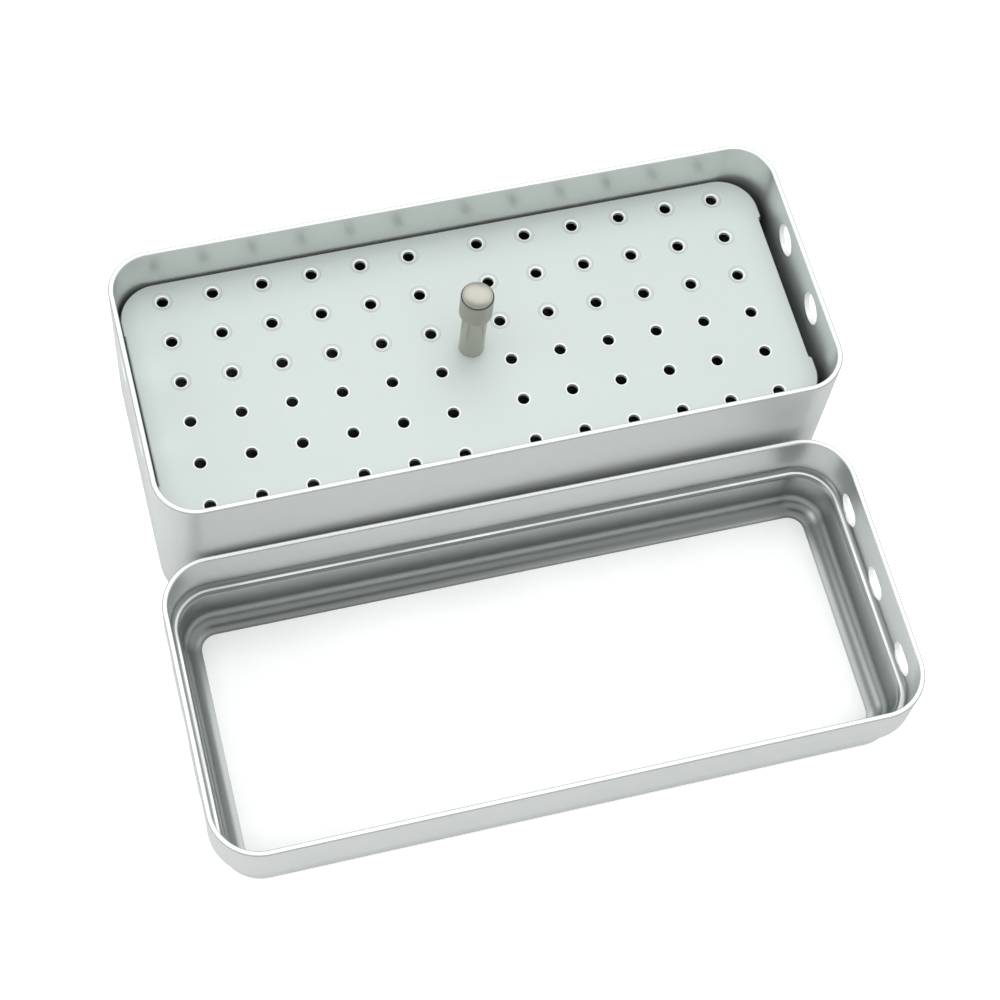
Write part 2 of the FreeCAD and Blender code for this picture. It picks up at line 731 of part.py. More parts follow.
def turned(body, name, points, feature_type):
    """Revolves a closed outline in the X-Z plane about the body's upright axis."""
    sketch = new_sketch(body, f"{name}_outline", "XZ_Plane")
    draw_polygon(sketch, "profile", points)
    document.recompute()
    feature = body.newObject(feature_type, name)
    feature.Profile = sketch
    feature.ReferenceAxis = (origin_feature(body, "Z_Axis"), [""])
    feature.Angle = 360
    document.recompute()
    return feature


# Lifting post: knurled head, shank and threaded stud in one turned piece
post = new_body("lift_post", *RACK_PLACE, "sizes.rack_top")
HEAD = "sizes.head_diameter / 2"
SHANK = "sizes.shank_diameter / 2"
STUD = "sizes.stud_diameter / 2"
HEAD_BOTTOM = "sizes.post_rise - sizes.head_length"
STUD_TIP = f"{NUT_BOTTOM} - sizes.stud_tip_beyond_nut - sizes.rack_top"
DISH = "sizes.head_dish_diameter / 2"
turned(
    post,
    "post_turning",
    [
        ("0", STUD_TIP),
        (f"{STUD} - sizes.stud_tip_chamfer", STUD_TIP),
        (STUD, f"{STUD_TIP} + sizes.stud_tip_chamfer"),
        (STUD, "0"),
        (SHANK, "0"),
        (SHANK, HEAD_BOTTOM),
        (f"{HEAD} - sizes.head_chamfer", HEAD_BOTTOM),
        (HEAD, f"{HEAD_BOTTOM} + sizes.head_chamfer"),
        (HEAD, "sizes.post_rise - sizes.head_chamfer"),
        (f"{HEAD} - sizes.head_chamfer", "sizes.post_rise"),
        (DISH, "sizes.post_rise"),
        ("0", "sizes.post_rise - sizes.head_dish_depth"),
    ],
    "PartDesign::Revolution",
)
knurl_sketch = new_sketch(post, "knurl_outline", offset="sizes.post_rise")
draw_polygon(
    knurl_sketch,
    "groove",
    [
        (f"{HEAD} - sizes.knurl_depth", "0"),
        (f"{HEAD} + sizes.knurl_depth", "2 * sizes.knurl_depth"),
        (f"{HEAD} + sizes.knurl_depth", "-2 * sizes.knurl_depth"),
    ],
)
groove = post.newObject("PartDesign::Pocket", "knurl_groove")
groove.Profile = knurl_sketch
groove.setExpression("Length", "sizes.head_length")
document.recompute()
knurl = post.newObject("PartDesign::PolarPattern", "knurl")
knurl.Originals = [groove]
knurl.Axis = (origin_feature(post, "Z_Axis"), [""])
knurl.Angle = 360
knurl.setExpression("Occurrences", "sizes.knurl_count")
post.Tip = knurl
document.recompute()

# Check every object, then write one file for each piece
for item in document.Objects:
    if "Invalid" in item.State or "Error" in item.State:
        raise RuntimeError(f"{item.Label} failed: {item.State}")
bodies = [item for item in document.Objects if item.TypeId == "PartDesign::Body"]
for body in bodies:
    if body.Shape.isNull() or not body.Shape.isValid() or len(body.Shape.Solids) != 1:
        raise RuntimeError(f"{body.Label} isn't one valid solid")

os.makedirs("parts", exist_ok=True)
for body in bodies:
    body.Shape.exportStep(f"parts/{body.Label}.step")
    box = body.Shape.BoundBox
    print(
        f"{body.Label}: volume {body.Shape.Volume:.1f},"
        f" x {box.XMin:.2f} to {box.XMax:.2f},"
        f" y {box.YMin:.2f} to {box.YMax:.2f},"
        f" z {box.ZMin:.2f} to {box.ZMax:.2f}"
    )
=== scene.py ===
import math

import bmesh
import bpy
from mathutils import Matrix, Vector


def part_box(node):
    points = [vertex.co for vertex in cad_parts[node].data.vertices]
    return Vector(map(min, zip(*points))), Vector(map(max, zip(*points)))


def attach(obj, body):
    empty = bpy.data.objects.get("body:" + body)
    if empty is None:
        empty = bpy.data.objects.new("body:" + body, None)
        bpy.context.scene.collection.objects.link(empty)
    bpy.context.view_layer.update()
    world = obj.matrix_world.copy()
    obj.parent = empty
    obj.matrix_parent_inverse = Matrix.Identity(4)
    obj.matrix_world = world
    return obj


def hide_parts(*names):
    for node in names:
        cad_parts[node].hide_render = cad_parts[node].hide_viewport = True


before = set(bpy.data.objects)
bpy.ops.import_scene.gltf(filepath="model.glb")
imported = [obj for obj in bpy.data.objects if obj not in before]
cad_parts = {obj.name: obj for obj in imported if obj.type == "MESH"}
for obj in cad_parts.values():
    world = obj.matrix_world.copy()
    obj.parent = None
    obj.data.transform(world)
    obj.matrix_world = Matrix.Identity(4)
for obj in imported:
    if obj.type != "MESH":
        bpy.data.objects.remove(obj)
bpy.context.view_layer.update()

MM = 0.001

# Sizes of the drawn pans
PAN_SHEET = 1.3 * MM
BASE_LENGTH, BASE_WIDTH, BASE_HEIGHT = 163.4 * MM, 69.6 * MM, 48.6 * MM
BASE_CORNER = 10.4 * MM
BASE_FLOOR_RADIUS = 4.0 * MM
BASE_VENT_DIAMETER, BASE_VENT_SPACING, BASE_VENT_DROP = 7.8 * MM, 19.7 * MM, 7.3 * MM
LID_LENGTH, LID_WIDTH, LID_HEIGHT = 166.5 * MM, 72.7 * MM, 28.0 * MM
LID_CORNER = 11.95 * MM
LID_FLOOR_RADIUS = 5.8 * MM
LEDGE_DEPTH, LEDGE_INSET = 13.0 * MM, 2.25 * MM
LEDGE_HEIGHT = LID_HEIGHT - LEDGE_DEPTH
INSIDE_LEDGE_EDGE, INSIDE_LEDGE_SEAT = 1.15 * MM, 1.0 * MM
OUTSIDE_LEDGE_EDGE, OUTSIDE_LEDGE_SEAT = 0.4 * MM, 1.3 * MM
LID_VENT_LENGTH, LID_VENT_HEIGHT = 8.4 * MM, 5.6 * MM
LID_VENT_SPACING, LID_VENT_DROP = 19.75 * MM, 9.9 * MM
LID_PLACE = Vector((-1.5 * MM, -72.5 * MM, 0.0))
LID_TURN = math.radians(-0.435)
RIM_ROUND = 0.3 * MM
BURR_ROUND = 0.06 * MM

# Sizes of the rack
RACK_PLACE = Vector((-0.6 * MM, 0.4 * MM, 0.0))
RACK_SHEET, RACK_TOP = 1.2 * MM, 36.0 * MM
RACK_LENGTH, RACK_WIDTH, RACK_CORNER = 158.5 * MM, 65.7 * MM, 9.5 * MM
RIGHT_LEG_FACE, LEFT_LEG_FACE, LEG_WIDTH = 78.3 * MM, 78.9 * MM, 40.0 * MM
LEG_BEND, FOOT_BEND, FOOT_REACH = 0.5 * MM, 2.4 * MM, 8.0 * MM
RIGHT_LOBE_ROUND, LEFT_LOBE_ROUND = 0.7 * MM, 0.2 * MM
COLUMN_PITCH, CENTRE_GAP, ROW_PITCH = 12.0 * MM, 17.0 * MM, 11.05 * MM
FIRST_BACK_ROW, FIRST_FRONT_ROW = 5.53 * MM, -5.22 * MM
HOLE_DIAMETER, HOLE_EDGE = 2.8 * MM, 0.28 * MM
COUNTERSINK_DIAMETER, COUNTERSINK_DEPTH = 4.8 * MM, 0.1 * MM
COUNTERSINK_RING, COUNTERSINK_RING_DEPTH = 0.2 * MM, 0.07 * MM
HOLE_EDGE_DEPTH, HOLE_UNDERSIDE_EDGE = 0.12 * MM, 0.1 * MM
TAB_WIDTH, TAB_CLEARANCE = 12.0 * MM, 0.1 * MM
OUTLINE_ROUND = 0.3 * MM

# Sizes of the lifting post
HEAD_DIAMETER, HEAD_LENGTH = 7.8 * MM, 8.1 * MM
HEAD_CHAMFER, TOP_CHAMFER = 0.7 * MM, 0.4 * MM
SHANK_DIAMETER, POST_RISE, STUD_DIAMETER = 6.0 * MM, 23.4 * MM, 4.0 * MM
DISH_DIAMETER, DISH_DEPTH = 6.8 * MM, 0.35 * MM
SHANK_EDGE, SHANK_FILLET, STUD_CHAMFER = 0.15 * MM, 0.2 * MM, 0.4 * MM
POST_BOTTOM = 13.1 * MM
KNURL_RIDGES, KNURL_DEPTH = 60, 0.16 * MM

# Steps of the roundings, cutters and noise
CORNER_STEPS = 24
VENT_SIDES, HOLE_SIDES = 48, 32
VENT_CUTTER_REACH, HOLE_CUTTER_REACH = 4 * MM, 0.5 * MM
SAME = 1e-6
STEEP = math.radians(60)
NOISE_TURN = (0.5, 0.7, 0.3)
CLOUD_SCALE, SHEEN_RANGE = 45, 0.02

# Material slots of the pans, the rack plate and the post
WALL, RIM, FLOOR, OUTSIDE, RIM_LINE, CROWN, LEDGE_HIGHLIGHT = range(7)
PLATE, HOLE_RIM, RING, OUTLINE_SHADE = range(4)
TURNED, TURNED_TOP, TOP_LINE = range(3)


# Making and placing pieces


def all_of(form):
    return list(form.verts) + list(form.edges) + list(form.faces)


def finish_piece(form, name, sharp_degrees=32):
    """Turns a bmesh into a smooth-shaded object."""
    mesh = bpy.data.meshes.new(name)
    form.to_mesh(mesh)
    form.free()
    piece = bpy.data.objects.new(name, mesh)
    bpy.context.scene.collection.objects.link(piece)
    shade(piece, sharp_degrees)
    return piece


def shade(piece, sharp_degrees=32):
    for polygon in piece.data.polygons:
        polygon.use_smooth = True
    piece.data.set_sharp_from_angle(angle=math.radians(sharp_degrees))


def cut_openings(piece, cutter):
    """Cuts the cutter's shape out of a piece for good."""
    boolean = piece.modifiers.new("openings", "BOOLEAN")
    boolean.operation = "DIFFERENCE"
    boolean.solver = "EXACT"
    boolean.object = cutter
    graph = bpy.context.evaluated_depsgraph_get()
    cut_mesh = bpy.data.meshes.new_from_object(piece.evaluated_get(graph))
    piece.modifiers.clear()
    piece.data = cut_mesh
    bpy.data.objects.remove(cutter)
    shade(piece)


def even_shading(piece):
    """Keeps large flat faces flat where they meet small roundings."""
    weighted = piece.modifiers.new("even_shading", "WEIGHTED_NORMAL")
    weighted.keep_sharp = True
    weighted.weight = 90


def grow(form, faces, keep_start=False):
    """Extrudes faces, and returns the new faces and their vertices."""
    grown = bmesh.ops.extrude_face_region(form, geom=faces)
    if not keep_start:
        bmesh.ops.delete(form, geom=faces, context="FACES")
    new_faces = [item for item in grown["geom"] if isinstance(item, bmesh.types.BMFace)]
    verts = [item for item in grown["geom"] if isinstance(item, bmesh.types.BMVert)]
    return new_faces, verts


def level_edges(form, height):
    return [
        edge
        for edge in form.edges
        if all(abs(vertex.co.z - height) < SAME for vertex in edge.verts)
    ]


def round_over(form, edges, radius, steps):
    bmesh.ops.bevel(
        form,
        geom=edges,
        offset=radius,
        offset_type="OFFSET",
        segments=steps,
        profile=0.5,
        affect="EDGES",
        material=-1,
        clamp_overlap=False,
    )


def round_cornered_block(length, width, corner, low, high):
    """Block with rounded upright edges."""
    form = bmesh.new()
    bmesh.ops.create_cube(form, size=1.0)
    bmesh.ops.scale(form, vec=(length, width, high - low), verts=form.verts)
    bmesh.ops.translate(form, vec=(0, 0, (low + high) / 2), verts=form.verts)
    uprights = [edge for edge in form.edges if abs(edge.verts[0].co.z - edge.verts[1].co.z) > SAME]
    round_over(form, uprights, corner, CORNER_STEPS)
    return form


def level_face(form, height):
    """Largest level face at a height."""
    found = [
        face
        for face in form.faces
        if all(abs(vertex.co.z - height) < SAME for vertex in face.verts)
    ]
    return max(found, key=lambda face: face.calc_area())


def open_top(form, height):
    bmesh.ops.delete(form, geom=[level_face(form, height)], context="FACES_ONLY")


def join_walls(outside, inside, height):
    """Turns the inside wall round and closes the rim between the two walls."""
    bmesh.ops.reverse_faces(inside, faces=inside.faces)
    carrier = bpy.data.meshes.new("inside_wall")
    inside.to_mesh(carrier)
    inside.free()
    outside.from_mesh(carrier)
    bpy.data.meshes.remove(carrier)
    open_edges = [edge for edge in outside.edges if edge.is_boundary]
    bmesh.ops.bridge_loops(outside, edges=open_edges)
    bmesh.ops.recalc_face_normals(outside, faces=outside.faces)
    rim_edges = [
        edge
        for edge in level_edges(outside, height)
        if edge.calc_face_angle(0) > STEEP
    ]
    round_over(outside, rim_edges, RIM_ROUND, 3)
    return outside


# Openings


def round_cutter(diameter, near, far):
    """Round bar along X that flares where it breaks through the faces at near and far."""
    form = bmesh.new()
    reach, flare = VENT_CUTTER_REACH, BURR_ROUND
    stations = [
        (near - reach, diameter / 2 + flare),
        (near, diameter / 2 + flare),
        (near + flare, diameter / 2),
        (far - flare, diameter / 2),
        (far, diameter / 2 + flare),
        (far + reach, diameter / 2 + flare),
    ]
    turn = Matrix.Rotation(math.radians(90), 3, "Y")
    bmesh.ops.create_circle(form, cap_ends=True, segments=VENT_SIDES, radius=stations[0][1])
    bmesh.ops.rotate(form, cent=(0, 0, 0), matrix=turn, verts=form.verts)
    bmesh.ops.translate(form, vec=(stations[0][0], 0, 0), verts=form.verts)
    end = list(form.faces)
    for (place, radius), (following, next_radius) in zip(stations, stations[1:]):
        end, verts = grow(form, end, keep_start=place == stations[0][0])
        share = next_radius / radius
        bmesh.ops.scale(form, vec=(1, share, share), verts=verts)
        bmesh.ops.translate(form, vec=(following - place, 0, 0), verts=verts)
    bmesh.ops.recalc_face_normals(form, faces=form.faces)
    return form


def place_cutters(name, *sets):
    """Copies each set's cutter to all its places and returns them as one object."""
    form = bmesh.new()
    for pattern, places in sets:
        carrier = bpy.data.meshes.new("cutter_pattern")
        pattern.to_mesh(carrier)
        pattern.free()
        for stretch, place in places:
            known = len(form.verts)
            form.from_mesh(carrier)
            form.verts.ensure_lookup_table()
            verts = form.verts[known:]
            bmesh.ops.scale(form, vec=stretch, verts=verts)
            bmesh.ops.translate(form, vec=place, verts=verts)
        bpy.data.meshes.remove(carrier)
    bmesh.ops.recalc_face_normals(form, faces=form.faces)
    return finish_piece(form, name)


# Base pan


def make_base_pan():
    outside = round_cornered_block(BASE_LENGTH, BASE_WIDTH, BASE_CORNER, 0, BASE_HEIGHT)
    open_top(outside, BASE_HEIGHT)
    round_over(outside, level_edges(outside, 0), BASE_FLOOR_RADIUS, 10)
    inside = round_cornered_block(
        BASE_LENGTH - 2 * PAN_SHEET,
        BASE_WIDTH - 2 * PAN_SHEET,
        BASE_CORNER - PAN_SHEET,
        PAN_SHEET,
        BASE_HEIGHT,
    )
    open_top(inside, BASE_HEIGHT)
    round_over(inside, level_edges(inside, PAN_SHEET), BASE_FLOOR_RADIUS - PAN_SHEET, 8)
    pan = finish_piece(join_walls(outside, inside, BASE_HEIGHT), "base_pan")
    half = BASE_LENGTH / 2
    cutter = round_cutter(BASE_VENT_DIAMETER, half - PAN_SHEET, half)
    height = BASE_HEIGHT - BASE_VENT_DROP
    places = []
    for end in (1, -1):
        for side in (1, -1):
            places.append(((end, 1, 1), (0, side * BASE_VENT_SPACING / 2, height)))
    cut_openings(pan, place_cutters("base_vent_cutter", (cutter, places)))
    even_shading(pan)
    return pan


# Lid pan, which lies open side up


def lid_wall(inset, ledge, floor, floor_radius, edge_radius, seat_radius):
    """One face of the lid's sheet: crown, ledge and skirt, open at the rim."""
    form = round_cornered_block(
        LID_LENGTH - 2 * inset, LID_WIDTH - 2 * inset, LID_CORNER - inset, ledge, LID_HEIGHT
    )
    open_top(form, LID_HEIGHT)
    step = level_face(form, ledge)
    bmesh.ops.inset_region(form, faces=[step], thickness=LEDGE_INSET, use_even_offset=True)
    outer_edges = [edge for edge in level_edges(form, ledge) if edge.calc_face_angle(0) > STEEP]
    crown, verts = grow(form, [step])
    bmesh.ops.translate(form, vec=(0, 0, floor - ledge), verts=verts)
    inner_edges = [
        edge
        for edge in level_edges(form, ledge)
        if edge not in outer_edges and edge.calc_face_angle(0) > STEEP
    ]
    round_over(form, outer_edges, seat_radius, 4)
    inner_edges = [edge for edge in inner_edges if edge.is_valid]
    round_over(form, inner_edges, edge_radius, 4)
    round_over(form, level_edges(form, floor), floor_radius, 12)
    return form


def make_lid_pan():
    outside = lid_wall(
        0,
        LEDGE_HEIGHT - PAN_SHEET,
        0,
        LID_FLOOR_RADIUS,
        OUTSIDE_LEDGE_EDGE,
        OUTSIDE_LEDGE_SEAT,
    )
    inside = lid_wall(
        PAN_SHEET,
        LEDGE_HEIGHT,
        PAN_SHEET,
        LID_FLOOR_RADIUS - PAN_SHEET,
        INSIDE_LEDGE_EDGE,
        INSIDE_LEDGE_SEAT,
    )
    lid = finish_piece(join_walls(outside, inside, LID_HEIGHT), "lid_pan")
    half = LID_LENGTH / 2
    cutter = round_cutter(LID_VENT_HEIGHT, half - PAN_SHEET, half)
    bmesh.ops.bisect_plane(
        cutter, geom=all_of(cutter), plane_co=(0, 0, 0), plane_no=(0, 1, 0)
    )
    half_slot = (LID_VENT_LENGTH - LID_VENT_HEIGHT) / 2
    for side in (1, -1):
        verts = [vertex for vertex in cutter.verts if vertex.co.y * side > SAME]
        bmesh.ops.translate(cutter, vec=(0, side * half_slot, 0), verts=verts)
    height = LID_HEIGHT - LID_VENT_DROP
    places = []
    for end in (1, -1):
        for step in (-1, 0, 1):
            places.append(((end, 1, 1), (0, step * LID_VENT_SPACING, height)))
    cut_openings(lid, place_cutters("lid_vent_cutter", (cutter, places)))
    even_shading(lid)
    return lid


# Rack top plate


def outline_edges(form):
    """Upper edges of the plate's outline, apart from the two that turn into the legs."""
    return [
        edge
        for edge in level_edges(form, RACK_TOP)
        if edge.calc_face_angle(0) > STEEP
        and not all(abs(vertex.co.y) < LEG_WIDTH / 2 + SAME for vertex in edge.verts)
    ]


def split_at(form, place, direction):
    bmesh.ops.bisect_plane(
        form, geom=all_of(form), dist=SAME, plane_co=place, plane_no=direction
    )


def fold_leg(form, side, leg_face):
    """Rounds one end of the plate over and takes the sheet down into a leg and a foot."""
    inner = leg_face - RACK_SHEET
    bend_edges = [
        edge
        for edge in level_edges(form, RACK_TOP)
        if all(abs(vertex.co.x - side * leg_face) < SAME for vertex in edge.verts)
    ]
    round_over(form, bend_edges, LEG_BEND, 4)
    split_at(form, (side * inner, 0, 0), (1, 0, 0))
    split_at(form, (0, LEG_WIDTH / 2, 0), (0, 1, 0))
    split_at(form, (0, -LEG_WIDTH / 2, 0), (0, 1, 0))
    underside = RACK_TOP - RACK_SHEET
    strip = [
        face
        for face in form.faces
        if all(abs(vertex.co.z - underside) < SAME for vertex in face.verts)
        and all(inner - SAME < vertex.co.x * side < leg_face + SAME for vertex in face.verts)
        and all(abs(vertex.co.y) < LEG_WIDTH / 2 + SAME for vertex in face.verts)
    ]
    foot_centre = PAN_SHEET + FOOT_BEND
    faces, verts = grow(form, strip)
    bmesh.ops.translate(form, vec=(0, 0, foot_centre - underside), verts=verts)
    foot_edges = list({edge for face in faces for edge in face.edges})
    made = bmesh.ops.spin(
        form,
        geom=faces + foot_edges + verts,
        cent=(side * (leg_face - FOOT_BEND), 0, foot_centre),
        axis=(0, side, 0),
        angle=math.radians(90),
        steps=8,
        use_duplicate=False,
    )
    last = [item for item in made["geom_last"] if isinstance(item, bmesh.types.BMFace)]
    verts = grow(form, last)[1]
    along = FOOT_REACH - FOOT_BEND
    bmesh.ops.translate(form, vec=(-side * along, 0, 0), verts=verts)


def tab_slot_cutter():
    """Boxes that open both legs for the tabs of the inner plates."""
    sets = []
    for node in ("guide_plate", "rest_plate"):
        low, high = (corner[2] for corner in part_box(node))
        slot = bmesh.new()
        bmesh.ops.create_cube(slot, size=1.0)
        across = TAB_WIDTH + 2 * TAB_CLEARANCE
        through = 3 * RACK_SHEET
        up = high - low + 2 * TAB_CLEARANCE
        bmesh.ops.scale(slot, vec=(through, across, up), verts=slot.verts)
        places = [
            ((1, 1, 1), (RIGHT_LEG_FACE - RACK_SHEET / 2, 0, (low + high) / 2)),
            ((1, 1, 1), (RACK_SHEET / 2 - LEFT_LEG_FACE, 0, (low + high) / 2)),
        ]
        sets.append((slot, places))
    return place_cutters("tab_slot_cutter", *sets)


def hole_places():
    """Centres of the bur holes, the back rows first."""
    back, front = [], []
    for column in range(6):
        for side in (1, -1):
            x = side * (CENTRE_GAP / 2 + column * COLUMN_PITCH)
            for row in range(3):
                back.append((x, FIRST_BACK_ROW + row * ROW_PITCH))
                front.append((x, FIRST_FRONT_ROW - row * ROW_PITCH))
    return back, front


def hole_cutter(low, high, countersunk):
    """Upright round cutter with a broken edge, and a shallow countersink if asked."""
    form = bmesh.new()
    hole = HOLE_DIAMETER / 2
    edge = hole + HOLE_EDGE
    rim = COUNTERSINK_DIAMETER / 2
    below = hole + HOLE_UNDERSIDE_EDGE
    stations = [
        (low - HOLE_CUTTER_REACH, below),
        (low, below),
        (low + HOLE_UNDERSIDE_EDGE, hole),
    ]
    if countersunk:
        dish = high - COUNTERSINK_DEPTH
        stations += [
            (dish - HOLE_EDGE_DEPTH, hole),
            (dish, edge),
            (high - COUNTERSINK_RING_DEPTH, rim - COUNTERSINK_RING),
            (high, rim),
            (high + HOLE_CUTTER_REACH, rim),
        ]
    else:
        stations += [(high - HOLE_EDGE_DEPTH, hole), (high, edge), (high + HOLE_CUTTER_REACH, edge)]
    bmesh.ops.create_circle(form, cap_ends=True, segments=HOLE_SIDES, radius=stations[0][1])
    bmesh.ops.translate(form, vec=(0, 0, stations[0][0]), verts=form.verts)
    end = list(form.faces)
    for (place, radius), (following, next_radius) in zip(stations, stations[1:]):
        end, verts = grow(form, end, keep_start=place == stations[0][0])
        share = next_radius / radius
        bmesh.ops.scale(form, vec=(share, share, 1), verts=verts)
        bmesh.ops.translate(form, vec=(0, 0, following - place), verts=verts)
    bmesh.ops.recalc_face_normals(form, faces=form.faces)
    return form


def finish_plate(plate, back, front):
    """Painted highlight on the hole edges, a thin ring of painted shade round each countersink, and
    painted shade along the outline's rounding.
    """
    for finish in (rack_metal, hole_edge_highlight_metal, ring_shade_metal, edge_line_shade_metal):
        plate.data.materials.append(finish)
    hole, rim = HOLE_DIAMETER / 2, COUNTERSINK_DIAMETER / 2
    for polygon in plate.data.polygons:
        centre = polygon.center
        reach = min(math.dist(centre.to_2d(), place) for place in back + front)
        # Painted shade along the outline's rounding.
        if reach > 3 * MM and 0.05 < polygon.normal.z < 0.95 and abs(centre.y) > LEG_WIDTH / 2:
            polygon.material_index = OUTLINE_SHADE
        if polygon.area > 1 * MM * MM or centre.z < RACK_TOP - 0.3 * MM:
            continue
        if polygon.normal.z > 0.995 or polygon.normal.z < 0.2:
            continue
        # Painted highlight on each hole's chamfer.
        if hole < reach < hole + HOLE_EDGE:
            polygon.material_index = HOLE_RIM
        # Painted shade on the countersink's step.
        elif rim - COUNTERSINK_RING < reach < rim:
            polygon.material_index = RING


def make_rack_plate():
    low, high = RACK_TOP - RACK_SHEET, RACK_TOP
    blank = finish_piece(
        round_cornered_block(RACK_LENGTH, RACK_WIDTH, RACK_CORNER, low, high), "rack_plate"
    )
    recess = bmesh.new()
    bmesh.ops.create_cube(recess, size=1.0)
    bmesh.ops.scale(recess, vec=(10 * MM, LEG_WIDTH, 10 * MM), verts=recess.verts)
    places = [
        ((1, 1, 1), (RIGHT_LEG_FACE + 5 * MM, 0, RACK_TOP)),
        ((1, 1, 1), (-LEFT_LEG_FACE - 5 * MM, 0, RACK_TOP)),
    ]
    cut_openings(blank, place_cutters("recess_cutter", (recess, places)))
    form = bmesh.new()
    form.from_mesh(blank.data)
    bmesh.ops.remove_doubles(form, verts=form.verts, dist=SAME)
    for side, radius in ((1, RIGHT_LOBE_ROUND), (-1, LEFT_LOBE_ROUND)):
        lobe_edges = [
            edge
            for edge in form.edges
            if abs(edge.verts[0].co.z - edge.verts[1].co.z) > SAME
            and abs(edge.verts[0].co.x - side * RACK_LENGTH / 2) < SAME
            and abs(abs(edge.verts[0].co.y) - LEG_WIDTH / 2) < SAME
        ]
        round_over(form, lobe_edges, radius, 5)
    round_over(form, outline_edges(form), OUTLINE_ROUND, 2)
    form.to_mesh(blank.data)
    form.free()
    back, front = hole_places()
    back_set = (hole_cutter(low, high, True), [((1, 1, 1), (x, y, 0)) for x, y in back])
    front_set = (hole_cutter(low, high, False), [((1, 1, 1), (x, y, 0)) for x, y in front])
    cut_openings(blank, place_cutters("hole_cutter", back_set, front_set))
    form = bmesh.new()
    form.from_mesh(blank.data)
    fold_leg(form, 1, RIGHT_LEG_FACE)
    fold_leg(form, -1, LEFT_LEG_FACE)
    bmesh.ops.recalc_face_normals(form, faces=form.faces)
    form.to_mesh(blank.data)
    form.free()
    cut_openings(blank, tab_slot_cutter())
    finish_plate(blank, back, front)
    blank.data.transform(Matrix.Translation(RACK_PLACE))
    even_shading(blank)
    return blank


# Lifting post


def make_post():
    head, shank, stud = HEAD_DIAMETER / 2, SHANK_DIAMETER / 2, STUD_DIAMETER / 2
    top = RACK_TOP + POST_RISE
    head_low = top - HEAD_LENGTH
    profile = [
        (0, POST_BOTTOM),
        (stud - STUD_CHAMFER, POST_BOTTOM),
        (stud, POST_BOTTOM + STUD_CHAMFER),
        (stud, RACK_TOP),
        (shank - SHANK_EDGE, RACK_TOP),
        (shank, RACK_TOP + SHANK_EDGE),
        (shank, head_low - SHANK_FILLET),
        (shank + SHANK_FILLET, head_low),
        (head - HEAD_CHAMFER, head_low),
        (head - KNURL_DEPTH, head_low + HEAD_CHAMFER - KNURL_DEPTH),
        (head, head_low + HEAD_CHAMFER),
        (head, top - TOP_CHAMFER),
        (head - KNURL_DEPTH, top - TOP_CHAMFER + KNURL_DEPTH),
        (head - TOP_CHAMFER, top),
        (DISH_DIAMETER / 2, top),
        (DISH_DIAMETER / 2 - 0.2 * MM, top - 0.08 * MM),
        (DISH_DIAMETER / 4, top - 0.26 * MM),
        (0, top - DISH_DEPTH),
    ]
    form = bmesh.new()
    points = [form.verts.new((x, 0, z)) for x, z in profile]
    lines = [form.edges.new(pair) for pair in zip(points, points[1:])]
    bmesh.ops.spin(
        form,
        geom=points + lines,
        cent=(0, 0, 0),
        axis=(0, 0, 1),
        angle=math.radians(360),
        steps=2 * KNURL_RIDGES,
        use_merge=True,
        use_duplicate=False,
    )
    bmesh.ops.remove_doubles(form, verts=form.verts, dist=1e-7)
    bmesh.ops.recalc_face_normals(form, faces=form.faces)
    valleys = []
    for vertex in form.verts:
        if vertex.co.to_2d().length < head - SAME:
            continue
        turn = math.atan2(vertex.co.y, vertex.co.x) / (2 * math.pi) * 2 * KNURL_RIDGES
        if round(turn) % 2:
            valleys.append(vertex)
    share = (head - KNURL_DEPTH) / head
    bmesh.ops.scale(form, vec=(share, share, 1), verts=valleys)
    bmesh.ops.translate(form, vec=RACK_PLACE, verts=form.verts)
    return finish_piece(form, "lifting_post", 20)


def finish_post(post):
    """Turned metal, with the dished top darkened as painted shade and a painted shade line round
    it.
    """
    for finish in (post_metal, post_top_shade_metal, edge_line_shade_metal):
        post.data.materials.append(finish)
    top = RACK_TOP + POST_RISE
    for polygon in post.data.polygons:
        if polygon.normal.z > 0.9 and polygon.center.z > top - DISH_DEPTH - 0.01 * MM:
            polygon.material_index = TURNED_TOP
        elif polygon.normal.z > 0.2 and polygon.center.z > top - TOP_CHAMFER:
            polygon.material_index = TOP_LINE


# Finishes


def new_finish(name):
    material = bpy.data.materials.new(name)
    material.use_nodes = True
    tree = material.node_tree
    shader = tree.nodes["Principled BSDF"]
    return material, tree, shader


def scaled_noise(tree, place, scale, detail=3):
    """Noise on the piece's own coordinates, turned so that no flat wall lies along its grid."""
    mapping = tree.nodes.new("ShaderNodeMapping")
    mapping.inputs["Rotation"].default_value = NOISE_TURN
    tree.links.new(place.outputs["Object"], mapping.inputs["Vector"])
    noise = tree.nodes.new("ShaderNodeTexNoise")
    noise.inputs["Scale"].default_value = scale
    noise.inputs["Detail"].default_value = detail
    tree.links.new(mapping.outputs["Vector"], noise.inputs["Vector"])
    return noise


def spread(tree, source, low, high, from_low=0.3, from_high=0.7):
    """Maps a noise onto a range of values."""
    ranged = tree.nodes.new("ShaderNodeMapRange")
    ranged.inputs["From Min"].default_value = from_low
    ranged.inputs["From Max"].default_value = from_high
    ranged.inputs["To Min"].default_value = low
    ranged.inputs["To Max"].default_value = high
    tree.links.new(source, ranged.inputs["Value"])
    return ranged.outputs["Result"]


